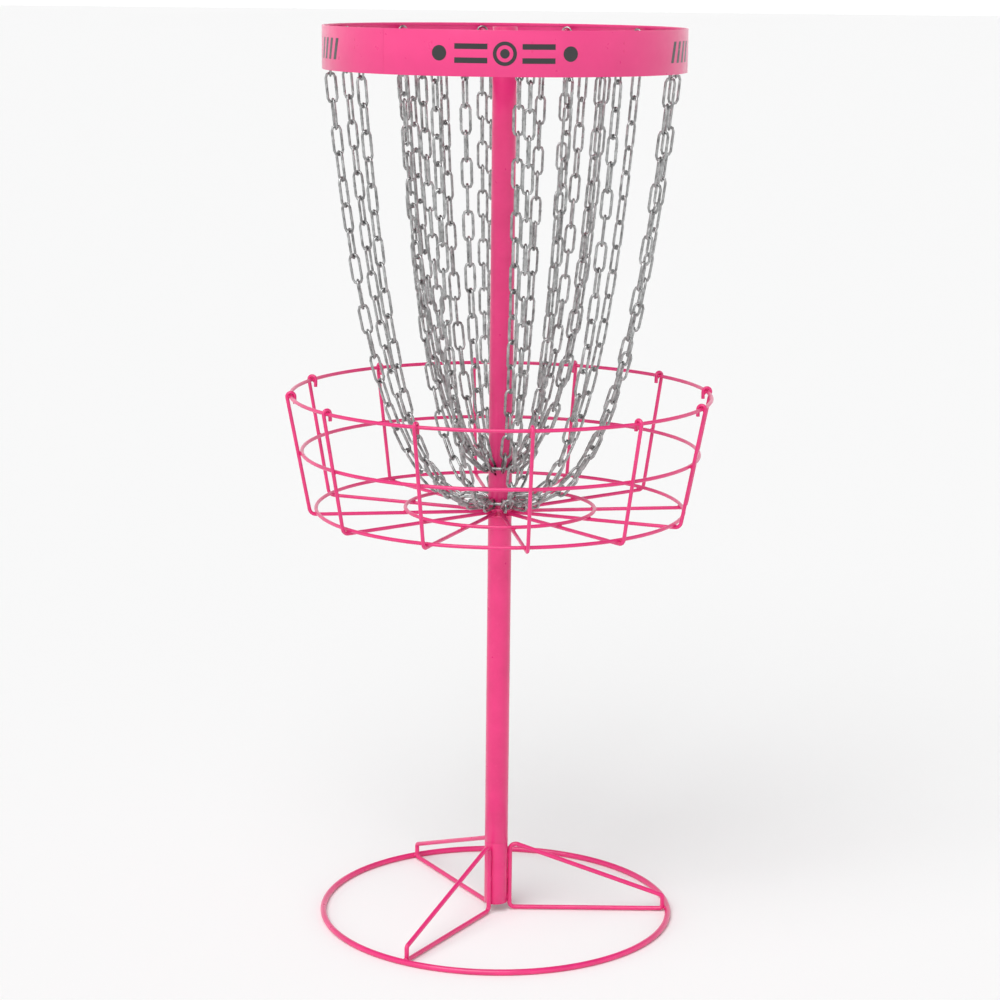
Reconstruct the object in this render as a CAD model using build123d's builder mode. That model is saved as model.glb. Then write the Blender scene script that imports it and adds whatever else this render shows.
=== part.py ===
from build123d import *
import os
from math import atan, cos, degrees, radians, sin, tan

# Disc golf basket, in millimetres. +Z is up, the ground is z = 0 and the pole's axis is x = y = 0.
# The front faces -Y. Twelve ribs, top spokes and chain pairs share the same azimuths.

# ---- Driving dimensions ----
azimuths = [8 + 30 * k for k in range(12)]
wire = 5.6                 # basket and top spoke wire
fit_gap = 0.08             # radial running clearance of tubes and pins
seat_gap = 0.1             # between faces that rest on each other across a joint
weld_gap = 0.05            # between wires that are welded where they cross

# Base
base_ring_radius = 270
base_wire = 9
gusset_wire = 7
gusset_azimuths = [0, 120, 240]
base_tube_bottom = 14
base_tube_top = 114
gusset_top = 112
gusset_drop_top = 26
gusset_bends = [8, 9, 5, 5]

# Pole
pole_radius = 18
pole_wall = 1.6
spigot_wall = 1.6
pole_seam = 652            # where the upper pole meets the lower pole
pole_top = 1364.5
base_spigot = 80           # length of the swaged end in the base tube
pole_spigot = 60           # length of the swaged end in the lower pole
stop_wire = 3.2
vent_radius = 2
vent_height = 700
vent_azimuth = -115

# Snap button, on the +Y side of the pole
button_height = 616
button_radius = 4
button_reach = 21          # top of the dome, from the pole's axis
dome_height = 2
dome_radius = 5
flange_radius = 6
flange_thickness = 1.2
flange_face = 13.3
strip_thickness = 0.8
strip_width = 9
strip_bend = 3
front_leg = 8              # how far the front leg stands above and below the button's centre
fold_drop = 21             # how far the fold lies below the button's centre
fold_front = 3
fold_back = -5
back_leg = 6               # how far the back leg's tip stands above the button's centre
back_reach = -13.3

# Basket
spoke_height = 640
rim_radius = 316.4
rim_height = 820
mid_height = 733.6
floor_ring_radius = 279
inner_ring_radius = 143.7
hub_wire = 5.2
rib_lean = 10.8            # degrees that the ribs lean out from vertical
rib_bend = 10
hook_end_drop = 11         # how far the hook's free end hangs below the rim ring's centre
spoke_inner_radius = 18.6

# Band and top spokes
band_radius = 268
band_thickness = 1.2
band_bottom = 1302
band_top = 1365
lap_azimuth = -129
lap_length = 20
sleeve_radius = 22
sleeve_bottom = 1313
sleeve_top = 1337
top_spoke_height = 1356    # at the band
top_spoke_slope = 7.3      # degrees down towards the pole
top_spoke_bend = 6
spoke_tab_end = 1330

# Chains: a welded link's wire, pitch, outer width and the play between neighbours
link_wire = 4.2
link_pitch = 38.2
link_width = 18
link_play = 0.8
chain_ring_radius = 26
chain_ring_wire = 5
ring_play = 0.5
outer_ring_height = 656
inner_ring_height = 710
outer_links = 19
inner_links = 16
outer_lowest_slope = 0.0184      # rise over run of the lowest link
outer_slope_step = 0.5285        # what each link above it adds, as in a hanging chain
inner_lowest_slope = 0.8968
inner_slope_step = 0.8835
outer_twists = [0, 180, 0, -180]     # degrees from the lowest link to the top one, chain by chain
inner_twists = [90, -90]

# Hooks that carry the chains
hook_wire = 3.2
hook_top_width = 15
hook_top_bend = 7
hook_bottom_bend = 4.4
hook_mouth_top = 17
hook_mouth_bottom = 21

# ---- Derived dimensions ----
pole_bore = pole_radius - pole_wall
spigot_radius = pole_bore - fit_gap
spigot_bore = spigot_radius - spigot_wall
cross_gap = wire + weld_gap      # centre distance of two basket wires that cross
lean_cos = cos(radians(rib_lean))
lean_tan = tan(radians(rib_lean))
rib_at_rim = rim_radius + (cross_gap + weld_gap) / lean_cos
top_slope_tan = tan(radians(top_spoke_slope))
link_bar = (link_wire + link_play) / 2   # from a link's contact point to the middle of its end bar

os.makedirs("parts", exist_ok=True)


def save(part, name):
    """Label a finished piece and write it as its own STEP file."""
    part.label = name
    export_step(part, f"parts/{name}.step")


def tube(name, outer, inner, bottom, top):
    """A straight round tube on the pole's axis."""
    with BuildPart() as piece:
        with BuildSketch(Plane.XY.offset(bottom)):
            Circle(outer)
            Circle(inner, mode=Mode.SUBTRACT)
        extrude(amount=top - bottom)
    save(piece.part, name)


def wire_ring(name, radius, thickness, height):
    """A wire bent to a level ring round the pole's axis and butt welded."""
    with BuildPart() as piece:
        with Locations((0, 0, height)):
            Torus(radius, thickness / 2)
    save(piece.part, name)


def upright(azimuth):
    """The vertical plane through the pole's axis: its x is the distance out, its y is the height."""
    angle = radians(azimuth)
    return Plane(origin=(0, 0, 0), x_dir=(cos(angle), sin(angle), 0), z_dir=(sin(angle), -cos(angle), 0))


def bent_wire(azimuth, corners, bends, thickness, closed=False):
    """A round wire in the upright plane, with a bend radius at each corner it turns at."""
    with BuildPart() as piece:
        with BuildLine(upright(azimuth)) as route:
            FilletPolyline(*corners, radius=bends, close=closed)
        path = route.wire()
        with BuildSketch(Plane(origin=path @ 0, z_dir=path % 0)):
            Circle(thickness / 2)
        sweep(path=path)
    return piece.part


# ---- Base ----
wire_ring("base_ring", base_ring_radius, base_wire, base_wire / 2)
tube("base_tube", pole_radius, pole_bore, base_tube_bottom, base_tube_top - seat_gap)

# Each gusset is one wire bent to a closed loop: up the tube, down the slope, a short drop at the
# ring, and back to the tube along the ground.
gusset_inner = pole_radius + gusset_wire / 2 + weld_gap
gusset_outer = base_ring_radius - base_wire / 2 - gusset_wire / 2 - weld_gap
gusset_bottom = base_wire / 2
gusset_corners = [
    (gusset_inner, gusset_bottom),
    (gusset_inner, gusset_top),
    (gusset_outer, gusset_drop_top),
    (gusset_outer, gusset_bottom),
]
for number, azimuth in enumerate(gusset_azimuths, start=1):
    gusset = bent_wire(azimuth, gusset_corners, gusset_bends, gusset_wire, closed=True)
    save(gusset, f"gusset_wire_{number}")


# ---- Pole ----
def swaged_pole(bottom, shoulder, top):
    """A tube whose lower end is swaged down to plug into the tube below, to be revolved about Z."""
    with BuildPart() as piece:
        with BuildSketch(Plane.XZ):
            with BuildLine():
                Polyline(
                    (spigot_bore, bottom),
                    (spigot_radius, bottom),
                    (spigot_radius, shoulder),
                    (pole_radius, shoulder),
                    (pole_radius, top),
                    (pole_bore, top),
                    (pole_bore, shoulder + 2 * pole_wall),
                    (spigot_bore, shoulder),
                    close=True,
                )
            make_face()
        revolve(axis=Axis.Z)
    return piece.part


def drill(part, radius, height, azimuth):
    """Drill one wall of a tube, radially, at a height and an azimuth."""
    angle = radians(azimuth)
    outward = (cos(angle), sin(angle), 0)
    with BuildPart() as piece:
        add(part)
        with BuildSketch(Plane(origin=(0, 0, height), z_dir=outward)):
            Circle(radius)
        extrude(amount=2 * pole_radius, mode=Mode.SUBTRACT)
    return piece.part


lower_pole = swaged_pole(base_tube_top - base_spigot, base_tube_top, pole_seam)
lower_pole = drill(lower_pole, button_radius + fit_gap, button_height, 90)
save(lower_pole, "lower_pole")

upper_pole = swaged_pole(pole_seam - pole_spigot, pole_seam, pole_top)
upper_pole = drill(upper_pole, button_radius + fit_gap, button_height, 90)
upper_pole = drill(upper_pole, vent_radius, vent_height, vent_azimuth)
save(upper_pole, "upper_pole")

# The basket's spokes rest on the lower stop ring and the sleeve rests on the upper one.
stop_radius = pole_radius + stop_wire / 2
wire_ring("hub_stop_ring", stop_radius, stop_wire, spoke_height - (wire + stop_wire) / 2 - 3 * seat_gap)
wire_ring("chain_stop_ring", stop_radius, stop_wire, sleeve_bottom - stop_wire / 2 - 3 * seat_gap)

# The button is turned about its own axis: a flange inside the tube, a stud and a domed end.
flange_back = flange_face - flange_thickness
dome_start = button_reach - dome_height
with BuildPart() as snap_button:
    with BuildSketch(Plane.YZ):
        with BuildLine():
            Polyline(
                (dome_start, button_height + button_radius),
                (flange_face, button_height + button_radius),
                (flange_face, button_height + flange_radius),
                (flange_back, button_height + flange_radius),
                (flange_back, button_height),
                (button_reach, button_height),
            )
            RadiusArc(
                (button_reach, button_height),
                (dome_start, button_height + button_radius),
                -dome_radius,
            )
        make_face()
    revolve(axis=Axis((0, 0, button_height), (0, 1, 0)))
save(snap_button.part, "snap_button")

# A strip of spring steel folded to a V. One leg pushes the button out, the other bears on the
# wall behind it.
strip_front = flange_back - strip_thickness / 2 - weld_gap
with BuildPart() as button_spring:
    with BuildSketch(Plane.YZ):
        with BuildLine() as fold:
            FilletPolyline(
                (strip_front, button_height + front_leg),
                (strip_front, button_height - front_leg),
                (fold_front, button_height - fold_drop),
                (fold_back, button_height - fold_drop),
                (back_reach, button_height + back_leg),
                radius=strip_bend,
            )
        trace(fold.edges(), line_width=strip_thickness)
    extrude(amount=strip_width / 2, both=True)
save(button_spring.part, "button_spring")

# ---- Basket ----
wire_ring("rim_ring", rim_radius, wire, rim_height)
mid_radius = rib_at_rim - (rim_height - mid_height) * lean_tan - (cross_gap + weld_gap) / lean_cos
wire_ring("mid_ring", mid_radius, wire, mid_height)
wire_ring("floor_ring", floor_ring_radius, wire, spoke_height + cross_gap)
wire_ring("inner_floor_ring", inner_ring_radius, wire, spoke_height + cross_gap)
hub_ring_height = spoke_height + (wire + hub_wire) / 2 + weld_gap
wire_ring("hub_ring", pole_radius + fit_gap + hub_wire / 2, hub_wire, hub_ring_height)

# A rib hooks over the rim ring from inside, leans down outside the rings, turns under the floor
# ring and runs in to the hub.
hook_height = rim_height + cross_gap + weld_gap
hook_inner = rim_radius - cross_gap - weld_gap
rib_corners = [
    (hook_inner, rim_height - hook_end_drop),
    (hook_inner, hook_height),
    (rib_at_rim + (hook_height - rim_height) * lean_tan, hook_height),
    (rib_at_rim - (rim_height - spoke_height) * lean_tan, spoke_height),
    (spoke_inner_radius, spoke_height),
]
for number, azimuth in enumerate(azimuths, start=1):
    rib = bent_wire(azimuth, rib_corners, [cross_gap, cross_gap, rib_bend], wire)
    save(rib, f"rib_{number:02d}")

# ---- Chain holder ----
# The band is a strip rolled to a ring, with its end lapped inside.
lap_angle = degrees(lap_length / band_radius)
band_bore = band_radius - band_thickness
with BuildPart() as band:
    with BuildSketch(Plane.XY.offset(band_bottom)):
        Circle(band_radius)
        Circle(band_bore, mode=Mode.SUBTRACT)
    extrude(amount=band_top - band_bottom)
    with BuildSketch(upright(lap_azimuth - lap_angle / 2)):
        with Locations((band_bore - band_thickness / 2, (band_bottom + band_top) / 2)):
            Rectangle(band_thickness + weld_gap, band_top - band_bottom)
    revolve(axis=Axis.Z, revolution_arc=lap_angle)
save(band.part, "band")

tube("top_sleeve", sleeve_radius, pole_radius + fit_gap, sleeve_bottom, sleeve_top)

spoke_outer = band_bore - wire / 2 - weld_gap
spoke_inner = sleeve_radius + 4 * weld_gap
spoke_corners = [
    (spoke_outer, spoke_tab_end),
    (spoke_outer, top_spoke_height),
    (spoke_inner, top_spoke_height - (spoke_outer - spoke_inner) * top_slope_tan),
]
spoke_wires = [bent_wire(azimuth, spoke_corners, [top_spoke_bend], wire) for azimuth in azimuths]
with BuildPart() as top_spokes:
    add(spoke_wires)
save(top_spokes.part, "top_spokes")

# ---- Chains ----
# A link is one wire bent to a long loop and welded in the middle of one side.
side_offset = (link_width - link_wire) / 2
straight_half = link_pitch / 2 + link_bar - side_offset
with BuildPart() as link:
    with BuildLine(Plane.XZ) as half_loop:
        Line((side_offset, 0), (side_offset, straight_half))
        ThreePointArc(
            (side_offset, straight_half),
            (0, straight_half + side_offset),
            (-side_offset, straight_half),
        )
        Line((-side_offset, straight_half), (-side_offset, 0))
    with BuildSketch(Plane.XY.move(Location((side_offset, 0, 0)))):
        Circle(link_wire / 2)
    sweep(path=half_loop.wire())
    mirror(about=Plane.XY)


def contact_points(start_radius, start_height, count, lowest_slope, slope_step):
    """Where the links touch, as (radius, height), from the ring up. In a hanging chain the slope
    grows by the same step at each link, because each carries one more link's weight."""
    points = [(start_radius, start_height)]
    for number in range(count):
        rise = atan(lowest_slope + slope_step * number)
        radius, height = points[-1]
        points.append((radius + link_pitch * cos(rise), height + link_pitch * sin(rise)))
    return points


def chain_points(ring_height, count, lowest_slope, slope_step):
    """Contact points of a chain whose lowest link is threaded on its ring."""
    reach = (link_wire + chain_ring_wire) / 2 + ring_play - link_bar
    rise = atan(lowest_slope)
    start_radius = chain_ring_radius - reach * cos(rise)
    start_height = ring_height - reach * sin(rise)
    return contact_points(start_radius, start_height, count, lowest_slope, slope_step)


def link_plane(azimuth, low, high, roll):
    """A plane at the middle of a link, its z along the link, turned by roll about the link."""
    out = (cos(radians(azimuth)), sin(radians(azimuth)))
    run = (high[0] - low[0]) / link_pitch
    rise = (high[1] - low[1]) / link_pitch
    radius = (low[0] + high[0]) / 2
    middle = (radius * out[0], radius * out[1], (low[1] + high[1]) / 2)
    along = (run * out[0], run * out[1], rise)
    across = Vector(-rise * out[0], -rise * out[1], run)
    return Plane(origin=middle, x_dir=across.rotate(Axis(middle, along), roll), z_dir=along)


def chain(name, azimuth, points, twist):
    """Links that stand crosswise to their neighbours, with a twist spread along the chain."""
    count = len(points) - 1
    rolls = [90 * number + twist * number / (count - 1) for number in range(count)]
    planes = [link_plane(azimuth, points[n], points[n + 1], rolls[n]) for n in range(count)]
    with BuildPart() as piece:
        with Locations(*planes):
            add(link.part)
    save(piece.part, name)


outer_points = chain_points(outer_ring_height, outer_links, outer_lowest_slope, outer_slope_step)
inner_points = chain_points(inner_ring_height, inner_links, inner_lowest_slope, inner_slope_step)
for number, azimuth in enumerate(azimuths, start=1):
    outer_twist = outer_twists[number % len(outer_twists)]
    inner_twist = inner_twists[number % len(inner_twists)]
    chain(f"outer_chain_{number:02d}", azimuth, outer_points, outer_twist)
    chain(f"inner_chain_{number:02d}", azimuth, inner_points, inner_twist)

wire_ring("outer_chain_ring", chain_ring_radius, chain_ring_wire, outer_ring_height)
wire_ring("inner_chain_ring", chain_ring_radius, chain_ring_wire, inner_ring_height)


# ---- Hooks ----
def hooks(name, points):
    """Twelve hooks, each a wire bent over a top spoke and up through a chain's top link."""
    below_contact = (link_wire + hook_wire) / 2 + link_play - link_bar
    rise = atan((points[-1][1] - points[-2][1]) / (points[-1][0] - points[-2][0]))
    radius = points[-1][0] - below_contact * cos(rise)
    low = points[-1][1] - below_contact * sin(rise)
    spoke = top_spoke_height - (spoke_outer - radius) * top_slope_tan
    high = spoke + wire / 2 / cos(radians(top_spoke_slope)) + hook_wire / 2 + seat_gap
    half_top = hook_top_width / 2
    taper = (half_top - hook_bottom_bend) / (high - low)
    corners = [
        (-half_top + taper * hook_mouth_top, high - hook_mouth_top),
        (-half_top, high),
        (half_top, high),
        (hook_bottom_bend, low),
        (-hook_bottom_bend, low),
        (-half_top + taper * hook_mouth_bottom, high - hook_mouth_bottom),
    ]
    bends = [hook_top_bend, hook_top_bend, hook_bottom_bend, hook_bottom_bend]
    with BuildPart() as hook:
        with BuildLine(Plane.YZ.offset(radius)) as route:
            FilletPolyline(*corners, radius=bends)
        path = route.wire()
        with BuildSketch(Plane(origin=path @ 0, z_dir=path % 0)):
            Circle(hook_wire / 2)
        sweep(path=path)
    with BuildPart() as piece:
        for azimuth in azimuths:
            add(hook.part, rotation=(0, 0, azimuth))
    save(piece.part, name)


hooks("outer_hooks", outer_points)
hooks("inner_hooks", inner_points)
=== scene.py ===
import bmesh
import bpy
from math import atan, atan2, ceil, cos, pi, radians, sin, tan
from mathutils import Matrix, Vector


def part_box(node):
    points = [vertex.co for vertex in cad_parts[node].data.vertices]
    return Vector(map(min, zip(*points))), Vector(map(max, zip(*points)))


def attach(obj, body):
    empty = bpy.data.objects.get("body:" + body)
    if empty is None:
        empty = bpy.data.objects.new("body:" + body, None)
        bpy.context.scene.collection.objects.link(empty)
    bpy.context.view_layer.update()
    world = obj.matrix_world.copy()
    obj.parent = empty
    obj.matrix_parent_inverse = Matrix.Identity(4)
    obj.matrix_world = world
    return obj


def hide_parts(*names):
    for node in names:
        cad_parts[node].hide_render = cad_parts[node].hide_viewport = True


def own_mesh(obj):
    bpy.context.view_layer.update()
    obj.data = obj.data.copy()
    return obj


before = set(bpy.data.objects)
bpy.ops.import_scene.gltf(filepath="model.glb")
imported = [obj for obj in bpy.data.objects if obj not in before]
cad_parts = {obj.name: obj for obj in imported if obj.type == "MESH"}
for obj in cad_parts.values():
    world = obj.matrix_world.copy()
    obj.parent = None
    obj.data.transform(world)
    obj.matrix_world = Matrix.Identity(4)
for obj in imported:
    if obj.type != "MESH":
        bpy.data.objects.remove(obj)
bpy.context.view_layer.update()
scene = bpy.context.scene

# ---- Camera ----
# It stands 3.8 m in front of the pole at eye height and looks down on the basket, with the small
# tilt of a camera held by hand.
camera_data = bpy.data.cameras.new("camera")
camera_data.lens = 91.5
camera_data.sensor_width = 36
camera_data.clip_end = 100
camera = bpy.data.objects.new("camera", camera_data)
scene.collection.objects.link(camera)
looks_down = 11.71
leans = 0.63
camera_place = Matrix.Translation((0, -3.783, 1.441))
camera_pitch = Matrix.Rotation(radians(90 - looks_down), 4, "X")
camera_roll = Matrix.Rotation(radians(leans), 4, "Z")
camera.matrix_world = camera_place @ camera_pitch @ camera_roll
scene.camera = camera
scene.view_settings.view_transform = "Standard"


# ---- Base ring ----
# A 9 mm steel bar rolled to a ring and butt welded. It stands on the ground and is powder coated
# pink, like every part of the frame.
def node_group(name, inputs, outputs):
    """An empty shader node group with those sockets, and its input and output nodes."""
    group = bpy.data.node_groups.new(name, "ShaderNodeTree")
    for socket, kind, value in inputs:
        made = group.interface.new_socket(socket, in_out="INPUT", socket_type=kind)
        made.default_value = value
    for socket, kind in outputs:
        group.interface.new_socket(socket, in_out="OUTPUT", socket_type=kind)
    entry = group.nodes.new("NodeGroupInput")
    leave = group.nodes.new("NodeGroupOutput")
    return group, entry, leave


def add_noise(tree, vector, scale, detail=3.0, roughness=0.5):
    """A noise texture on the given coordinates; its scale is in features per metre."""
    noise = tree.nodes.new("ShaderNodeTexNoise")
    noise.inputs["Scale"].default_value = scale
    noise.inputs["Detail"].default_value = detail
    noise.inputs["Roughness"].default_value = roughness
    tree.links.new(vector, noise.inputs["Vector"])
    return noise.outputs["Fac"]


def remap(tree, value, low, high, to_low, to_high):
    """Carries a value from one range to another and stops at its ends."""
    node = tree.nodes.new("ShaderNodeMapRange")
    node.inputs["From Min"].default_value = low
    node.inputs["From Max"].default_value = high
    node.inputs["To Min"].default_value = to_low
    node.inputs["To Max"].default_value = to_high
    tree.links.new(value, node.inputs["Value"])
    return node.outputs["Result"]


def mix_colour(tree, factor, a, b):
    """Mixes two colours by a factor; a and b are sockets."""
    node = tree.nodes.new("ShaderNodeMix")
    node.data_type = "RGBA"
    tree.links.new(factor, node.inputs["Factor"])
    tree.links.new(a, node.inputs[6])
    tree.links.new(b, node.inputs[7])
    return node.outputs[2]


# Powder coat: a fine orange peel, slow changes of depth, and a few fine rubs.
coat_group, coat_in, coat_out = node_group(
    "powder_coat_surface",
    [
        ("Coordinates", "NodeSocketVector", (0, 0, 0)),
        ("Coat", "NodeSocketColor", (0.8, 0.1, 0.3, 1)),
        ("Thin", "NodeSocketColor", (0.7, 0.1, 0.3, 1)),
        ("Rub", "NodeSocketColor", (0.9, 0.4, 0.6, 1)),
    ],
    [
        ("Colour", "NodeSocketColor"),
        ("Roughness", "NodeSocketFloat"),
        ("Height", "NodeSocketFloat"),
    ],
)
coat_at = coat_in.outputs["Coordinates"]
coat_depth = remap(coat_group, add_noise(coat_group, coat_at, 22, 4), 0.3, 0.7, 0, 1)
coat_rubs = remap(coat_group, add_noise(coat_group, coat_at, 90, 6, 0.7), 0.6, 0.8, 0, 0.3)
coat_body = mix_colour(coat_group, coat_depth, coat_in.outputs["Coat"], coat_in.outputs["Thin"])
coat_colour = mix_colour(coat_group, coat_rubs, coat_body, coat_in.outputs["Rub"])
coat_gloss = remap(coat_group, add_noise(coat_group, coat_at, 60, 5), 0.25, 0.75, 0.26, 0.4)
coat_peel = add_noise(coat_group, coat_at, 420, 1)
coat_group.links.new(coat_colour, coat_out.inputs["Colour"])
coat_group.links.new(coat_gloss, coat_out.inputs["Roughness"])
coat_group.links.new(coat_peel, coat_out.inputs["Height"])


def surface_material(name, group, colours, metallic, bump_strength, bump_depth, coat):
    """A material whose colour, roughness and relief come from a shared surface group."""
    material = bpy.data.materials.new(name)
    material.use_nodes = True
    tree = material.node_tree
    shader = tree.nodes["Principled BSDF"]
    place = tree.nodes.new("ShaderNodeTexCoord")
    surface = tree.nodes.new("ShaderNodeGroup")
    surface.node_tree = group
    for socket, colour in colours.items():
        surface.inputs[socket].default_value = (*colour, 1)
    bump = tree.nodes.new("ShaderNodeBump")
    bump.inputs["Strength"].default_value = bump_strength
    bump.inputs["Distance"].default_value = bump_depth
    tree.links.new(place.outputs["Object"], surface.inputs["Coordinates"])
    tree.links.new(surface.outputs["Colour"], shader.inputs["Base Color"])
    tree.links.new(surface.outputs["Roughness"], shader.inputs["Roughness"])
    tree.links.new(surface.outputs["Height"], bump.inputs["Height"])
    tree.links.new(bump.outputs["Normal"], shader.inputs["Normal"])
    shader.inputs["Metallic"].default_value = metallic
    shader.inputs["Coat Weight"].default_value = coat
    shader.inputs["Coat Roughness"].default_value = 0.12
    return material


frame_paint = surface_material(
    "pink_powder_coat",
    coat_group,
    {"Coat": (0.78, 0.024, 0.19), "Thin": (0.68, 0.016, 0.155), "Rub": (0.84, 0.07, 0.27)},
    metallic=0,
    bump_strength=0.2,
    bump_depth=0.00015,
    coat=0.35,
)


crease = 38


def finish_piece(name, shape, material, body, slot, *nodes, sharp=crease):
    """Turns a bmesh into a piece that rides on a body and stands for its CAD nodes."""
    bmesh.ops.remove_doubles(shape, verts=shape.verts, dist=1e-6)
    bmesh.ops.recalc_face_normals(shape, faces=shape.faces)
    mesh = bpy.data.meshes.new(name)
    shape.to_mesh(mesh)
    shape.free()
    mesh.shade_smooth()
    mesh.set_sharp_from_angle(angle=radians(sharp))
    mesh.materials.append(material)
    piece = bpy.data.objects.new(name, mesh)
    scene.collection.objects.link(piece)
    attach(piece, body)
    if nodes:
        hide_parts(*nodes)
    return piece


def ring_size(node):
    """A wire ring's centreline radius, wire thickness and height, from its CAD node."""
    low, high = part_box(node)
    thickness = high.z - low.z
    return high.x - thickness / 2, thickness, (low.z + high.z) / 2


def wire_ring(name, node, material, body, slot, sides=16, steps=144):
    """A wire spun once round the pole's axis."""
    radius, thickness, height = ring_size(node)
    shape = bmesh.new()
    stand = Matrix.Translation((radius, 0, height)) @ Matrix.Rotation(pi / 2, 4, "X")
    bmesh.ops.create_circle(shape, segments=sides, radius=thickness / 2, matrix=stand)
    bmesh.ops.spin(
        shape,
        geom=shape.verts[:] + shape.edges[:],
        cent=(0, 0, 0),
        axis=(0, 0, 1),
        angle=2 * pi,
        steps=steps,
        use_merge=True,
    )
    return finish_piece(name, shape, material, body, slot, node)


wire_ring("base_hoop", "base_ring", frame_paint, "base", "frame_paint", sides=20)
base_radius, base_wire, base_height = ring_size("base_ring")

# ---- Gusset wires ----
# Three 7 mm wires, each bent to a closed loop and welded up the base tube and to the inside of
# the ring. They keep the pole upright.
gusset_wire = 0.007
weld_gap = 0.00005
bend_step = radians(11)
turn_axis = Vector((0, -1, 0))


def bend_wire(shape, corners, bends, thickness, sides=14, closed=False):
    """Runs a wire through corners (distance out, height) in the XZ plane and bends it at each
    inner one, as a wire bender does: straight runs are extruded and bends are spun."""
    points = [Vector((out, 0, height)) for out, height in corners]
    heading = (points[1] - points[0]).normalized()
    stand = Matrix.Translation(points[0]) @ heading.to_track_quat("Z", "X").to_matrix().to_4x4()
    start = bmesh.ops.create_circle(shape, segments=sides, radius=thickness / 2, matrix=stand)
    loop = list({edge for vert in start["verts"] for edge in vert.link_edges})
    first_loop = loop[:]
    at = points[0]
    for number in range(1, len(points)):
        gap = 0.0
        turn = 0.0
        if number < len(points) - 1:
            leave = (points[number + 1] - points[number]).normalized()
            turn = atan2(turn_axis.dot(heading.cross(leave)), heading.dot(leave))
            gap = bends[number - 1] * tan(abs(turn) / 2)
        step = heading * ((points[number] - at).length - gap)
        made = bmesh.ops.extrude_edge_only(shape, edges=loop)["geom"]
        new_verts = [item for item in made if isinstance(item, bmesh.types.BMVert)]
        bmesh.ops.translate(shape, verts=new_verts, vec=step)
        old = set(loop)
        loop = [
            item
            for item in made
            if isinstance(item, bmesh.types.BMEdge)
            and item not in old
            and all(vert in new_verts for vert in item.verts)
        ]
        at = at + step
        if turn:
            side = Matrix.Rotation(pi / 2 if turn > 0 else -pi / 2, 3, turn_axis) @ heading
            centre = at + side * bends[number - 1]
            spun = bmesh.ops.spin(
                shape,
                geom=loop + list({vert for edge in loop for vert in edge.verts}),
                cent=centre,
                axis=turn_axis,
                angle=turn,
                steps=ceil(abs(turn) / bend_step),
            )
            loop = [item for item in spun["geom_last"] if isinstance(item, bmesh.types.BMEdge)]
            swing = Matrix.Rotation(turn, 3, turn_axis)
            at = centre + swing @ (at - centre)
            heading = swing @ heading
    if closed:
        bmesh.ops.remove_doubles(shape, verts=shape.verts, dist=1e-6)
        return
    for end in (first_loop, loop):
        cap = bmesh.ops.contextual_create(shape, geom=end)["faces"]
        bmesh.ops.bevel(
            shape,
            geom=cap[0].edges[:],
            offset=thickness * 0.12,
            offset_type="OFFSET",
            segments=2,
            profile=0.5,
            affect="EDGES",
            material=-1,
        )


def swing_to(shape, azimuth):
    """Turns a shape about the pole's axis to its azimuth, in degrees."""
    turn = Matrix.Rotation(radians(azimuth), 3, "Z")
    bmesh.ops.rotate(shape, cent=(0, 0, 0), matrix=turn, verts=shape.verts)


tube_low, tube_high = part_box("base_tube")
tube_radius = tube_high.x
gusset_in = tube_radius + gusset_wire / 2 + weld_gap
gusset_out = base_radius - (base_wire + gusset_wire) / 2 - weld_gap
gusset_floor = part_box("gusset_wire_1")[0].z + gusset_wire / 2
gusset_peak = 0.112
gusset_knee = 0.026
gusset_bends = [0.008, 0.009, 0.005, 0.005]
gusset_corners = [
    ((gusset_in + gusset_out) / 2, gusset_floor),
    (gusset_in, gusset_floor),
    (gusset_in, gusset_peak),
    (gusset_out, gusset_knee),
    (gusset_out, gusset_floor),
    ((gusset_in + gusset_out) / 2, gusset_floor),
]
gusset_azimuths = [0, 120, 240]
for number, azimuth in enumerate(gusset_azimuths, start=1):
    loop_shape = bmesh.new()
    bend_wire(loop_shape, gusset_corners, gusset_bends, gusset_wire, 16, closed=True)
    swing_to(loop_shape, azimuth)
    name = f"gusset_wire_{number}"
    finish_piece(f"gusset_loop_{number}", loop_shape, frame_paint, "base", "frame_paint", name)


def weld_bead(shape, out, height, azimuth, size):
    """One bead of weld metal: a small ball stretched to its size (out, across, up)."""
    made = bmesh.ops.create_icosphere(shape, subdivisions=2, radius=1)["verts"]
    place = Matrix.Rotation(radians(azimuth), 4, "Z") @ Matrix.Translation((out, 0, height))
    stretch = Matrix.Diagonal((*size, 1))
    bmesh.ops.transform(shape, matrix=place @ stretch, verts=made)


tube_side = tube_radius + 0.0002
tube_bead = (0.0016, 0.0031, 0.006)
tube_bead_heights = (0.022, 0.056, 0.09)
ring_side = base_radius - base_wire / 2
ring_bead = (0.0018, 0.0045, 0.0036)
ring_bead_height = base_height + 0.001
base_welds = bmesh.new()
for azimuth in gusset_azimuths:
    for height in tube_bead_heights:
        weld_bead(base_welds, tube_side, height, azimuth, tube_bead)
    weld_bead(base_welds, ring_side, ring_bead_height, azimuth, ring_bead)
finish_piece("base_welds", base_welds, frame_paint, "base", "frame_paint")


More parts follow.
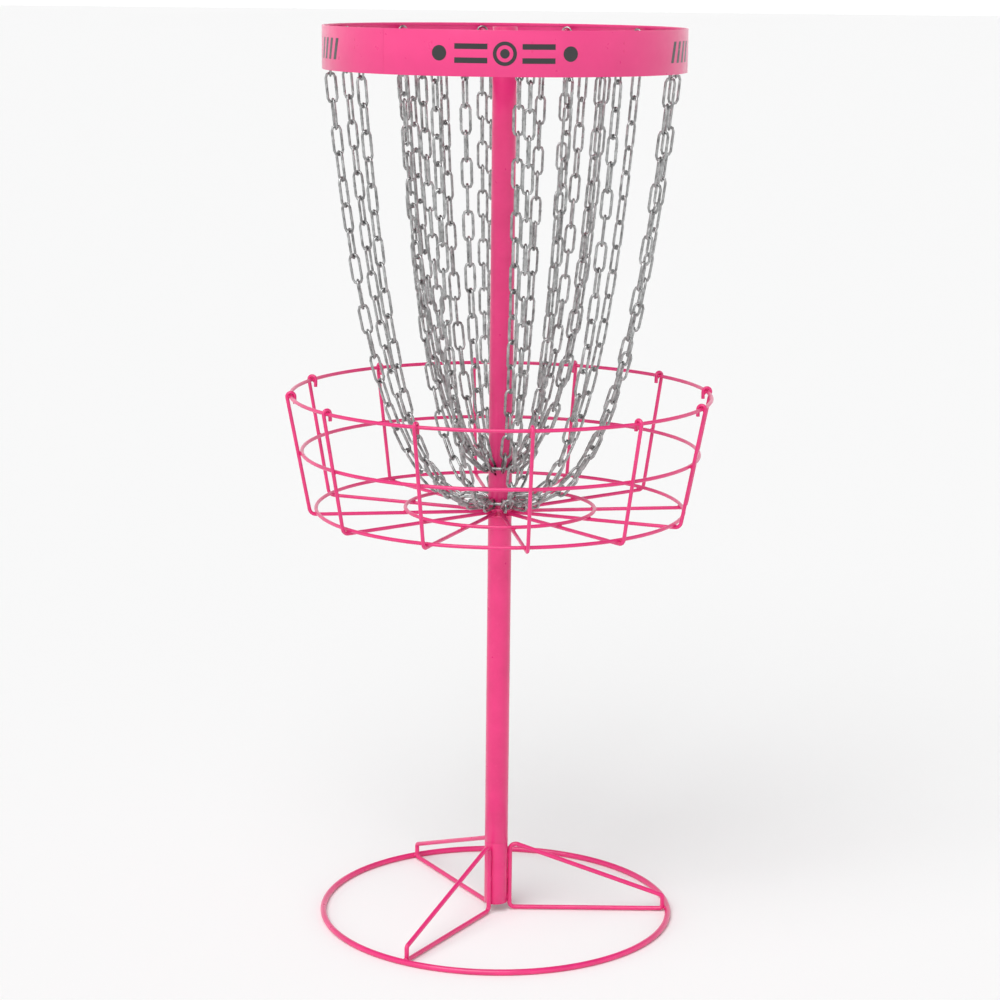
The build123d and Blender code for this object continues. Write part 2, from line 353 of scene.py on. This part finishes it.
# ---- Base tube ----
# A short length of the pole's tube, the socket that the pole stands in. It hangs clear of the
# ground between the three gussets.
def tube_shape(profile, steps=96, edge=0.0004):
    """A closed outline of (radius, height) points spun round the pole's axis, with its corners
    rounded first by bevelling."""
    shape = bmesh.new()
    corners = [shape.verts.new((radius, 0, height)) for radius, height in profile]
    outline = shape.faces.new(corners)
    bmesh.ops.bevel(
        shape,
        geom=corners,
        offset=edge,
        offset_type="OFFSET",
        segments=2,
        profile=0.5,
        affect="VERTICES",
        material=-1,
    )
    bmesh.ops.delete(shape, geom=shape.faces[:], context="FACES_ONLY")
    bmesh.ops.spin(
        shape,
        geom=shape.verts[:] + shape.edges[:],
        cent=(0, 0, 0),
        axis=(0, 0, 1),
        angle=2 * pi,
        steps=steps,
        use_merge=True,
    )
    return shape


pole_wall = 0.0016
pole_bore = tube_radius - pole_wall
socket_outline = [
    (pole_bore, tube_low.z),
    (tube_radius, tube_low.z),
    (tube_radius, tube_high.z),
    (pole_bore, tube_high.z),
]
socket_shape = tube_shape(socket_outline)
finish_piece("base_socket", socket_shape, frame_paint, "base", "frame_paint", "base_tube")

# ---- Pole ----
# Two lengths of 36 mm tube. The lower end of each is swaged down so that it plugs into the tube
# below it. The upper one has a small hole that it hung from in the paint oven.
slide_gap = 0.00008
seat_gap = 0.0001
spigot_radius = pole_bore - slide_gap
spigot_bore = spigot_radius - pole_wall
button_low, button_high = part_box("snap_button")
button_radius = 0.004
button_height = (button_low.z + button_high.z) / 2
button_azimuth = 90
vent_height, vent_azimuth, vent_radius = 0.7, -115, 0.002
drill_length = 0.03
burr_size = 0.00002


def drill(piece, height, azimuth, radius):
    """Drills one wall of a tube, then keeps the cut as plain mesh."""
    cutter_shape = bmesh.new()
    bmesh.ops.create_cone(
        cutter_shape,
        cap_ends=True,
        segments=32,
        radius1=radius,
        radius2=radius,
        depth=drill_length,
    )
    aim = Matrix.Rotation(radians(azimuth), 4, "Z") @ Matrix.Translation((tube_radius, 0, height))
    aim = aim @ Matrix.Rotation(pi / 2, 4, "Y")
    bmesh.ops.transform(cutter_shape, matrix=aim, verts=cutter_shape.verts)
    cutter_mesh = bpy.data.meshes.new("drill")
    cutter_shape.to_mesh(cutter_mesh)
    cutter_shape.free()
    cutter = bpy.data.objects.new("drill", cutter_mesh)
    scene.collection.objects.link(cutter)
    cut = piece.modifiers.new("drill", "BOOLEAN")
    cut.object = cutter
    cut.operation = "DIFFERENCE"
    cut.solver = "EXACT"
    bpy.context.view_layer.update()
    graph = bpy.context.evaluated_depsgraph_get()
    done = bpy.data.meshes.new_from_object(piece.evaluated_get(graph))
    piece.modifiers.clear()
    piece.data = done
    bpy.data.objects.remove(cutter)
    burrs = bmesh.new()
    burrs.from_mesh(done)
    bmesh.ops.remove_doubles(burrs, verts=burrs.verts, dist=burr_size)
    burrs.to_mesh(done)
    burrs.free()
    done.set_sharp_from_angle(angle=radians(crease))


def pole_section(name, node, shoulder):
    """A swaged tube, from its CAD node's ends and the height of its shoulder."""
    low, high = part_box(node)
    outline = [
        (spigot_bore, low.z),
        (spigot_radius, low.z),
        (spigot_radius, shoulder),
        (tube_radius, shoulder),
        (tube_radius, high.z),
        (pole_bore, high.z),
        (pole_bore, shoulder + 2 * pole_wall),
        (spigot_bore, shoulder),
    ]
    return finish_piece(name, tube_shape(outline), frame_paint, "pole", "frame_paint", node)


pole_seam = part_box("lower_pole")[1].z
lower_section = pole_section("lower_pole_tube", "lower_pole", tube_high.z + seat_gap)
upper_section = pole_section("upper_pole_tube", "upper_pole", pole_seam)
for section in (lower_section, upper_section):
    drill(section, button_height, button_azimuth, button_radius + slide_gap)
drill(upper_section, vent_height, vent_azimuth, vent_radius)
for stop in ("hub_stop_ring", "chain_stop_ring"):
    wire_ring(f"{stop}_wire", stop, frame_paint, "pole", "frame_paint", sides=12, steps=96)

# ---- Snap button and spring ----
# A plated steel button on the end of a V of spring strip. It locks the two pole sections and
# pushes in flush to release them.
metal_group, metal_in, metal_out = node_group(
    "plated_metal_surface",
    [
        ("Coordinates", "NodeSocketVector", (0, 0, 0)),
        ("Bright", "NodeSocketColor", (0.7, 0.7, 0.7, 1)),
        ("Dull", "NodeSocketColor", (0.4, 0.4, 0.4, 1)),
        ("Stain", "NodeSocketColor", (0.3, 0.28, 0.25, 1)),
    ],
    [
        ("Colour", "NodeSocketColor"),
        ("Roughness", "NodeSocketFloat"),
        ("Height", "NodeSocketFloat"),
    ],
)
metal_at = metal_in.outputs["Coordinates"]
metal_cloud = remap(metal_group, add_noise(metal_group, metal_at, 90, 5, 0.6), 0.32, 0.68, 0, 1)
metal_specks = remap(metal_group, add_noise(metal_group, metal_at, 420, 4, 0.6), 0.6, 0.75, 0, 0.5)
metal_body = mix_colour(
    metal_group, metal_cloud, metal_in.outputs["Bright"], metal_in.outputs["Dull"]
)
metal_colour = mix_colour(metal_group, metal_specks, metal_body, metal_in.outputs["Stain"])
metal_gloss = remap(metal_group, add_noise(metal_group, metal_at, 160, 4), 0.3, 0.7, 0.22, 0.42)
metal_grain = add_noise(metal_group, metal_at, 1400, 2)
metal_group.links.new(metal_colour, metal_out.inputs["Colour"])
metal_group.links.new(metal_gloss, metal_out.inputs["Roughness"])
metal_group.links.new(metal_grain, metal_out.inputs["Height"])

button_plate = surface_material(
    "nickel_plate",
    metal_group,
    {"Bright": (0.66, 0.64, 0.6), "Dull": (0.5, 0.49, 0.47), "Stain": (0.3, 0.28, 0.25)},
    metallic=1,
    bump_strength=0.15,
    bump_depth=0.0001,
    coat=0,
)
spring_strip = surface_material(
    "oiled_spring_strip",
    metal_group,
    {"Bright": (0.3, 0.31, 0.34), "Dull": (0.16, 0.17, 0.2), "Stain": (0.2, 0.12, 0.07)},
    metallic=1,
    bump_strength=0.2,
    bump_depth=0.0001,
    coat=0,
)

flange_radius = (button_high.z - button_low.z) / 2
flange_face = button_low.y + 0.0012
button_shape = bmesh.new()
button_rows = [
    (0, button_low.y),
    (flange_radius, button_low.y),
    (flange_radius, flange_face),
    (button_radius, flange_face),
    (button_radius, button_high.y - 0.002),
    (button_radius * 0.82, button_high.y - 0.001),
    (button_radius * 0.5, button_high.y - 0.0003),
    (0, button_high.y),
]
row_verts = [button_shape.verts.new((radius, out, button_height)) for radius, out in button_rows]
for low_vert, high_vert in zip(row_verts, row_verts[1:]):
    button_shape.edges.new((low_vert, high_vert))
bmesh.ops.spin(
    button_shape,
    geom=button_shape.verts[:] + button_shape.edges[:],
    cent=(0, 0, button_height),
    axis=(0, 1, 0),
    angle=2 * pi,
    steps=32,
    use_merge=True,
)
finish_piece(
    "lock_button", button_shape, button_plate, "snap_button", "bright_steel", "snap_button"
)

strip_thickness = 0.0008
strip_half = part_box("button_spring")[1].x
strip_front = button_low.y - strip_thickness / 2 - weld_gap
spring_shape = bmesh.new()
spring_points = [
    (strip_front, 0.008),
    (strip_front, -0.008),
    (0.0105, -0.0115),
    (0.0045, -0.0192),
    (0.002, -0.0209),
    (-0.0035, -0.0209),
    (-0.0058, -0.0192),
    (-0.0133, 0.006),
]
fold = [spring_shape.verts.new((-strip_half, out, button_height + up)) for out, up in spring_points]
for low_vert, high_vert in zip(fold, fold[1:]):
    spring_shape.edges.new((low_vert, high_vert))
made = bmesh.ops.extrude_edge_only(spring_shape, edges=spring_shape.edges[:])["geom"]
side_verts = [item for item in made if isinstance(item, bmesh.types.BMVert)]
bmesh.ops.translate(spring_shape, verts=side_verts, vec=(2 * strip_half, 0, 0))
bmesh.ops.recalc_face_normals(spring_shape, faces=spring_shape.faces)
bmesh.ops.solidify(spring_shape, geom=spring_shape.faces[:], thickness=strip_thickness)
button_leaf = finish_piece(
    "button_leaf", spring_shape, spring_strip, "pole", "spring_steel", "button_spring"
)
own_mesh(button_leaf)

# ---- Basket rings ----
# Four rings of 5.6 mm wire and a tighter one round the pole, all welded to the ribs. The floor
# rings and the hub ring lie on top of the spokes.
for ring in ("rim_ring", "mid_ring", "floor_ring", "inner_floor_ring", "hub_ring"):
    wire_ring(f"{ring}_wire", ring, frame_paint, "basket", "frame_paint", sides=16)
rim_radius, wire, rim_height = ring_size("rim_ring")
mid_radius, _, mid_height = ring_size("mid_ring")
floor_radius, _, floor_height = ring_size("floor_ring")
inner_radius = ring_size("inner_floor_ring")[0]
hub_radius, hub_wire, hub_height = ring_size("hub_ring")

# ---- Ribs ----
# Twelve wires, each one hooked over the rim, bent in under the floor ring and run to the hub.
# They are welded to every ring they cross.
azimuths = [8 + 30 * number for number in range(12)]
cross_gap = wire + weld_gap
rib_lean = radians(10.8)
hook_drop = 0.011
spoke_height = floor_height - cross_gap
rib_at_rim = rim_radius + (cross_gap + weld_gap) / cos(rib_lean)
hook_height = rim_height + cross_gap + weld_gap
hook_inner = rim_radius - cross_gap - weld_gap
rib_corners = [
    (hook_inner, rim_height - hook_drop),
    (hook_inner, hook_height),
    (rib_at_rim + (hook_height - rim_height) * tan(rib_lean), hook_height),
    (rib_at_rim - (rim_height - spoke_height) * tan(rib_lean), spoke_height),
    (tube_radius + 0.0006, spoke_height),
]
rib_bends = [cross_gap, cross_gap, 0.01]
side_bead = (0.0016, 0.0038, 0.0036)
flat_bead = (0.0038, 0.0038, 0.0016)
rib_beads = [
    (rim_radius + wire / 2, rim_height, side_bead),
    (rim_radius - wire / 2, rim_height - 0.001, side_bead),
    (mid_radius + wire / 2, mid_height, side_bead),
    (floor_radius, floor_height - wire / 2, flat_bead),
    (inner_radius, floor_height - wire / 2, flat_bead),
    (hub_radius + 0.001, hub_height - hub_wire / 2, flat_bead),
]
basket_welds = bmesh.new()
for number, azimuth in enumerate(azimuths, start=1):
    rib_shape = bmesh.new()
    bend_wire(rib_shape, rib_corners, rib_bends, wire, 16)
    swing_to(rib_shape, azimuth)
    name = f"rib_{number:02d}"
    finish_piece(f"{name}_wire", rib_shape, frame_paint, "basket", "frame_paint", name)
    for out, height, size in rib_beads:
        weld_bead(basket_welds, out, height, azimuth, size)
finish_piece("basket_welds", basket_welds, frame_paint, "basket", "frame_paint")

# ---- Band ----
# A strip of sheet steel rolled to a ring, its edges hemmed inwards and its end lapped inside and
# spot welded. It is painted a lighter pink than the frame.
band_paint = surface_material(
    "pink_band_paint",
    coat_group,
    {"Coat": (0.78, 0.03, 0.205), "Thin": (0.74, 0.025, 0.19), "Rub": (0.81, 0.05, 0.235)},
    metallic=0,
    bump_strength=0.1,
    bump_depth=0.0001,
    coat=0.4,
)
band_low, band_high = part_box("band")
band_radius = band_high.x
band_sheet = 0.0012
band_hem = 0.0045
lap_azimuth = radians(-129)
seam_gap = radians(0.025)
lap_angle = 0.02 / band_radius
lap_margin = 0.0006
face_gap = 0.00002


def sheet_arc(shape, profile, start, sweep, steps, edge):
    """Sweeps a closed outline of (radius, height) points part way round the pole's axis."""
    corners = [shape.verts.new((radius, 0, height)) for radius, height in profile]
    outline = shape.faces.new(corners)
    bmesh.ops.bevel(
        shape,
        geom=corners,
        offset=edge,
        offset_type="OFFSET",
        segments=2,
        profile=0.5,
        affect="VERTICES",
        material=-1,
    )
    begin = Matrix.Rotation(start, 3, "Z")
    island = [face for face in shape.faces if all(abs(vert.co.y) < 1e-9 for vert in face.verts)]
    verts = list({vert for face in island for vert in face.verts})
    bmesh.ops.rotate(shape, cent=(0, 0, 0), matrix=begin, verts=verts)
    bmesh.ops.spin(
        shape,
        geom=island,
        cent=(0, 0, 0),
        axis=(0, 0, 1),
        angle=sweep,
        steps=steps,
    )


band_bore = band_radius - band_sheet
hem_bore = band_bore - band_sheet
band_outline = [
    (band_radius, band_low.z),
    (band_radius, band_high.z),
    (hem_bore, band_high.z),
    (hem_bore, band_high.z - band_hem),
    (band_bore, band_high.z - band_hem),
    (band_bore, band_low.z + band_hem),
    (hem_bore, band_low.z + band_hem),
    (hem_bore, band_low.z),
]
band_shape = bmesh.new()
full_turn = 2 * pi - 2 * seam_gap
sheet_arc(band_shape, band_outline, lap_azimuth + seam_gap, full_turn, steps=180, edge=0.00035)
lap_low = band_low.z + band_hem + lap_margin
lap_high = band_high.z - band_hem - lap_margin
lap_outline = [
    (band_bore - face_gap, lap_low),
    (band_bore - face_gap, lap_high),
    (hem_bore, lap_high),
    (hem_bore, lap_low),
]
sheet_arc(band_shape, lap_outline, lap_azimuth - lap_angle / 2, lap_angle, steps=6, edge=0.0002)
finish_piece("band_sheet", band_shape, band_paint, "chain_holder", "band_paint", "band")

# ---- Band graphics ----
# Plain shapes cut from black vinyl film and stuck on the band: a spot between bars at the front
# and slanted bars at each side.
vinyl_black = surface_material(
    "black_vinyl",
    coat_group,
    {"Coat": (0.012, 0.012, 0.014), "Thin": (0.02, 0.02, 0.022), "Rub": (0.06, 0.055, 0.06)},
    metallic=0,
    bump_strength=0.05,
    bump_depth=0.0001,
    coat=0.2,
)
film_thickness = 0.00012
film_step = 0.003
band_middle = (band_low.z + band_high.z) / 2


def merge_into(shape, part):
    """Adds one bmesh to another and frees it."""
    carrier = bpy.data.meshes.new("part")
    part.to_mesh(carrier)
    part.free()
    shape.from_mesh(carrier)
    bpy.data.meshes.remove(carrier)


def film_piece(name, azimuth, cuts):
    """Lays flat cuts of film on the band round an azimuth. A cut is a function that adds to a
    bmesh in the XZ plane, where x runs along the band and z is measured from its middle."""
    flat = bmesh.new()
    for cut in cuts:
        cut(flat)
    bmesh.ops.remove_doubles(flat, verts=flat.verts, dist=1e-7)
    bmesh.ops.recalc_face_normals(flat, faces=flat.faces)
    made = bmesh.ops.extrude_face_region(flat, geom=flat.faces[:])["geom"]
    lifted = [item for item in made if isinstance(item, bmesh.types.BMVert)]
    bmesh.ops.translate(flat, verts=lifted, vec=(0, film_thickness, 0))
    for vert in flat.verts:
        angle = radians(azimuth) + vert.co.x / band_radius
        out = band_radius + face_gap + vert.co.y
        vert.co = (out * cos(angle), out * sin(angle), band_middle + vert.co.z)
    finish_piece(name, flat, vinyl_black, "chain_holder", "band_paint")


def spot(along, outer, inner=0.0):
    """A disc of film, or a ring where it has an inner radius."""

    def cut(flat):
        part = bmesh.new()
        edge = [part.verts.new((radius, 0, 0)) for radius in (inner, outer)]
        line = part.edges.new(edge)
        bmesh.ops.spin(
            part,
            geom=[*edge, line],
            cent=(0, 0, 0),
            axis=(0, 1, 0),
            angle=2 * pi,
            steps=40,
            use_merge=True,
        )
        bmesh.ops.translate(part, verts=part.verts, vec=(along, 0, 0))
        merge_into(flat, part)

    return cut


def bar(along, up, length, height, slant=0.0):
    """A straight bar of film with clipped corners; slant leans its ends."""

    def cut(flat):
        part = bmesh.new()
        columns = max(2, ceil(length / film_step))
        bmesh.ops.create_grid(part, x_segments=columns, y_segments=1, size=0.5)
        bmesh.ops.scale(part, verts=part.verts, vec=(length, height, 1))
        upright = Matrix.Rotation(pi / 2, 3, "X")
        bmesh.ops.rotate(part, cent=(0, 0, 0), matrix=upright, verts=part.verts)
        for vert in part.verts:
            vert.co.x += slant * vert.co.z
        bmesh.ops.translate(part, verts=part.verts, vec=(along, 0, up))
        merge_into(flat, part)

    return cut


front_spots = [spot(side * 0.092, 0.0105) for side in (-1, 1)]
front_bars = [
    bar(side * 0.047, up, length=0.046, height=0.0075)
    for side in (-1, 1)
    for up in (-0.0095, 0.0095)
]
film_piece(
    "front_graphic",
    -90,
    [spot(0, outer=0.0165, inner=0.0115), spot(0, outer=0.0065), *front_bars, *front_spots],
)
slanted_bars = [
    bar(step * 0.02, 0, length=0.009, height=0.03, slant=0.3) for step in (-1.5, -0.5, 0.5, 1.5)
]
for side, azimuth in (("left", 200), ("right", -20)):
    film_piece(f"{side}_graphic", azimuth, slanted_bars)

# ---- Top sleeve and spokes ----
# The sleeve is a short tube that slides on the pole and rests on its stop ring. Twelve wires are
# welded to it, run up and out to the band, and turn down its inner face.
sleeve_low, sleeve_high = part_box("top_sleeve")
sleeve_radius = sleeve_high.x
sleeve_bore = tube_radius + slide_gap
sleeve_outline = [
    (sleeve_bore, sleeve_low.z),
    (sleeve_radius, sleeve_low.z),
    (sleeve_radius, sleeve_high.z),
    (sleeve_bore, sleeve_high.z),
]
finish_piece(
    "spoke_sleeve",
    tube_shape(sleeve_outline),
    frame_paint,
    "chain_holder",
    "frame_paint",
    "top_sleeve",
)
top_spoke_height = 1.356
spoke_bend = 0.006
top_slope = tan(radians(7.3))
spoke_out = band_bore - wire / 2 - weld_gap
spoke_in = sleeve_radius + 0.0002
sleeve_joint = top_spoke_height - (spoke_out - spoke_in) * top_slope
spoke_tab_end = 1.330
tab_bead = (0.0014, 0.0034, 0.0045)
tab_bead_heights = (spoke_tab_end + 0.007, spoke_tab_end + 0.018)
sleeve_bead = (0.0016, 0.0042, 0.0042)
sleeve_side = sleeve_radius + 0.0006
spoke_corners = [
    (spoke_out, spoke_tab_end),
    (spoke_out, top_spoke_height),
    (spoke_in, sleeve_joint),
]
spokes_shape = bmesh.new()
holder_welds = bmesh.new()
for azimuth in azimuths:
    one_spoke = bmesh.new()
    bend_wire(one_spoke, spoke_corners, [spoke_bend], wire, 14)
    swing_to(one_spoke, azimuth)
    merge_into(spokes_shape, one_spoke)
    for height in tab_bead_heights:
        weld_bead(holder_welds, band_bore, height, azimuth, tab_bead)
    weld_bead(holder_welds, sleeve_side, sleeve_joint, azimuth, sleeve_bead)
finish_piece(
    "spoke_wires", spokes_shape, frame_paint, "chain_holder", "frame_paint", "top_spokes"
)
finish_piece("holder_welds", holder_welds, frame_paint, "chain_holder", "frame_paint")

# ---- Chain rings ----
# Two loose rings of 5 mm bright zinc-plated wire round the pole. The lowest link of every chain
# is threaded on one of them.
zinc_plate = surface_material(
    "bright_zinc",
    metal_group,
    {"Bright": (0.56, 0.57, 0.57), "Dull": (0.2, 0.2, 0.2), "Stain": (0.06, 0.06, 0.06)},
    metallic=1,
    bump_strength=0.2,
    bump_depth=0.0001,
    coat=0,
)
for tier in ("outer", "inner"):
    node = f"{tier}_chain_ring"
    slot = "zinc_plated_steel"
    wire_ring(f"{node}_wire", node, zinc_plate, "chain_holder", slot, sides=14, steps=72)

# ---- Chains ----
# Welded long-link chain of 4.2 mm zinc-plated wire, twelve strands in an outer tier and twelve in
# an inner one. Each link stands crosswise to the next, and the weld is a bead on one side.
link_wire = 0.0042
link_pitch = 0.0382
link_width = 0.018
link_play = 0.0008
link_bar = (link_wire + link_play) / 2
weld_half = 0.0016
weld_swell = 1.2
ring_play = 0.0005
side_offset = (link_width - link_wire) / 2
straight_half = link_pitch / 2 + link_bar - side_offset


def link_shape():
    """One link, standing along Z in the XZ plane, with a weld bead on its -X side."""
    shape = bmesh.new()
    stand = Matrix.Translation((side_offset, 0, -straight_half))
    bmesh.ops.create_circle(shape, segments=8, radius=link_wire / 2, matrix=stand)
    moves = [
        ("run", 2 * straight_half),
        ("bend", 1),
        ("run", straight_half - weld_half),
        ("run", weld_half),
        ("run", weld_half),
        ("run", straight_half - weld_half),
        ("bend", -1),
    ]
    loop = shape.edges[:]
    weld_verts = []
    heading = 1
    for number, (move, amount) in enumerate(moves):
        if move == "run":
            made = bmesh.ops.extrude_edge_only(shape, edges=loop)["geom"]
            verts = [item for item in made if isinstance(item, bmesh.types.BMVert)]
            bmesh.ops.translate(shape, verts=verts, vec=(0, 0, heading * amount))
            loop = [
                item
                for item in made
                if isinstance(item, bmesh.types.BMEdge)
                and all(vert in verts for vert in item.verts)
            ]
            if number == 3:
                weld_verts = verts
        else:
            spun = bmesh.ops.spin(
                shape,
                geom=loop + list({vert for edge in loop for vert in edge.verts}),
                cent=(0, 0, amount * straight_half),
                axis=(0, -1, 0),
                angle=pi,
                steps=4,
            )
            loop = [item for item in spun["geom_last"] if isinstance(item, bmesh.types.BMEdge)]
            heading = -heading
    swell = Matrix.Translation((-side_offset, 0, 0)) @ Matrix.Scale(weld_swell, 4)
    swell = swell @ Matrix.Translation((side_offset, 0, 0))
    bmesh.ops.transform(shape, matrix=swell, verts=weld_verts)
    bmesh.ops.remove_doubles(shape, verts=shape.verts, dist=1e-6)
    bmesh.ops.recalc_face_normals(shape, faces=shape.faces)
    return shape


one_link = link_shape()
link_mesh = bpy.data.meshes.new("one_link")
one_link.to_mesh(link_mesh)
one_link.free()


def chain_path(ring_node, count, lowest_slope, slope_step):
    """Where the links touch, as (distance out, height), from the ring up. The slope of a hanging
    chain grows by the same step at each link."""
    ring_radius, ring_wire, ring_height = ring_size(ring_node)
    reach = (link_wire + ring_wire) / 2 + ring_play - link_bar
    rise = atan(lowest_slope)
    points = [(ring_radius - reach * cos(rise), ring_height - reach * sin(rise))]
    for number in range(count):
        rise = atan(lowest_slope + slope_step * number)
        out, height = points[-1]
        points.append((out + link_pitch * cos(rise), height + link_pitch * sin(rise)))
    return points


def hang_chain(name, node, azimuth, points, twist):
    """A chain piece: its links along the path, each turned a quarter from the last. The twist,
    in degrees, is spread over the whole chain."""
    shape = bmesh.new()
    count = len(points) - 1
    for number, (low, high) in enumerate(zip(points, points[1:])):
        out, height = (low[0] + high[0]) / 2, (low[1] + high[1]) / 2
        rise = atan2(high[1] - low[1], high[0] - low[0])
        roll = radians(90 * number + twist * number / (count - 1))
        place = Matrix.Rotation(radians(azimuth), 4, "Z") @ Matrix.Translation((out, 0, height))
        place = place @ Matrix.Rotation(pi / 2 - rise, 4, "Y") @ Matrix.Rotation(roll, 4, "Z")
        before = len(shape.verts)
        shape.from_mesh(link_mesh)
        shape.verts.ensure_lookup_table()
        bmesh.ops.transform(shape, matrix=place, verts=shape.verts[before:])
    return finish_piece(name, shape, zinc_plate, node, "zinc_plated_steel", node, sharp=60)


outer_path = chain_path("outer_chain_ring", 19, lowest_slope=0.0184, slope_step=0.5285)
inner_path = chain_path("inner_chain_ring", 16, lowest_slope=0.8968, slope_step=0.8835)
outer_twists = [0, 180, 0, -180]
inner_twists = [90, -90]
for number, azimuth in enumerate(azimuths, start=1):
    outer, inner = f"outer_chain_{number:02d}", f"inner_chain_{number:02d}"
    hang_chain(f"{outer}_links", outer, azimuth, outer_path, outer_twists[number % 4])
    hang_chain(f"{inner}_links", inner, azimuth, inner_path, inner_twists[number % 2])
bpy.data.meshes.remove(link_mesh)

# ---- Hooks ----
# Each chain hangs from a hook of 3.2 mm plated wire, bent over a top spoke and squeezed almost
# shut under the chain's top link.
hook_wire = 0.0032
half_top = 0.0075
hook_top_bend = 0.007
bottom_bend = 0.0044
short_leg = 0.017
long_leg = 0.021


def hook_set(name, node, points):
    """Twelve hooks for one tier of chains."""
    below = (link_wire + hook_wire) / 2 + link_play - link_bar
    rise = atan2(points[-1][1] - points[-2][1], points[-1][0] - points[-2][0])
    out = points[-1][0] - below * cos(rise)
    low = points[-1][1] - below * sin(rise)
    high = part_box(node)[1].z - hook_wire / 2
    taper = (half_top - bottom_bend) / (high - low)
    corners = [
        (-half_top + taper * short_leg, high - short_leg),
        (-half_top, high),
        (half_top, high),
        (bottom_bend, low),
        (-bottom_bend, low),
        (-half_top + taper * long_leg, high - long_leg),
    ]
    bends = [hook_top_bend, hook_top_bend, bottom_bend, bottom_bend]
    shape = bmesh.new()
    for azimuth in azimuths:
        one_hook = bmesh.new()
        bend_wire(one_hook, corners, bends, hook_wire, 10)
        across = Matrix.Translation((out, 0, 0)) @ Matrix.Rotation(pi / 2, 4, "Z")
        bmesh.ops.transform(one_hook, matrix=across, verts=one_hook.verts)
        swing_to(one_hook, azimuth)
        merge_into(shape, one_hook)
    finish_piece(name, shape, zinc_plate, "chain_holder", "zinc_plated_steel", node)


hook_set("outer_hook_wires", "outer_hooks", outer_path)
hook_set("inner_hook_wires", "inner_hooks", inner_path)

# ---- Ground and light ----
# A pale studio floor and large soft lights.
ground_radius = 300
floor_shape = bmesh.new()
bmesh.ops.create_circle(floor_shape, cap_ends=True, segments=96, radius=ground_radius)
floor_mesh = bpy.data.meshes.new("studio_floor")
floor_shape.to_mesh(floor_mesh)
floor_shape.free()
studio_floor = bpy.data.objects.new("studio_floor", floor_mesh)
scene.collection.objects.link(studio_floor)
floor_paint = bpy.data.materials.new("studio_floor_paint")
floor_paint.use_nodes = True
floor_shader = floor_paint.node_tree.nodes["Principled BSDF"]
floor_shader.inputs["Base Color"].default_value = (0.95, 0.95, 0.95, 1)
floor_shader.inputs["Roughness"].default_value = 0.9
floor_mesh.materials.append(floor_paint)

# The room is white up to eye level and darkens overhead, which gives bare metal its contrast.
world = bpy.data.worlds.new("studio")
scene.world = world
world.use_nodes = True
sky = world.node_tree
sky_way = sky.nodes.new("ShaderNodeTexCoord")
sky_split = sky.nodes.new("ShaderNodeSeparateXYZ")
sky_ramp = sky.nodes.new("ShaderNodeValToRGB")
sky.links.new(sky_way.outputs["Generated"], sky_split.inputs["Vector"])
sky.links.new(sky_split.outputs["Z"], sky_ramp.inputs["Fac"])
sky.links.new(sky_ramp.outputs["Color"], sky.nodes["Background"].inputs["Color"])
sky_ramp.color_ramp.elements[0].position = 0.3
sky_ramp.color_ramp.elements[0].color = (1, 1, 1, 1)
sky_ramp.color_ramp.elements[1].position = 0.75
sky_ramp.color_ramp.elements[1].color = (0.1, 0.1, 0.1, 1)
sky.nodes["Background"].inputs["Strength"].default_value = 1.08

sun_data = bpy.data.lights.new("overhead_light", "SUN")
sun_data.angle = radians(50)
sun_data.energy = 2.35
sun = bpy.data.objects.new("overhead_light", sun_data)
sun.matrix_world = Matrix.Rotation(radians(-25), 4, "Z") @ Matrix.Rotation(radians(35), 4, "X")
scene.collection.objects.link(sun)
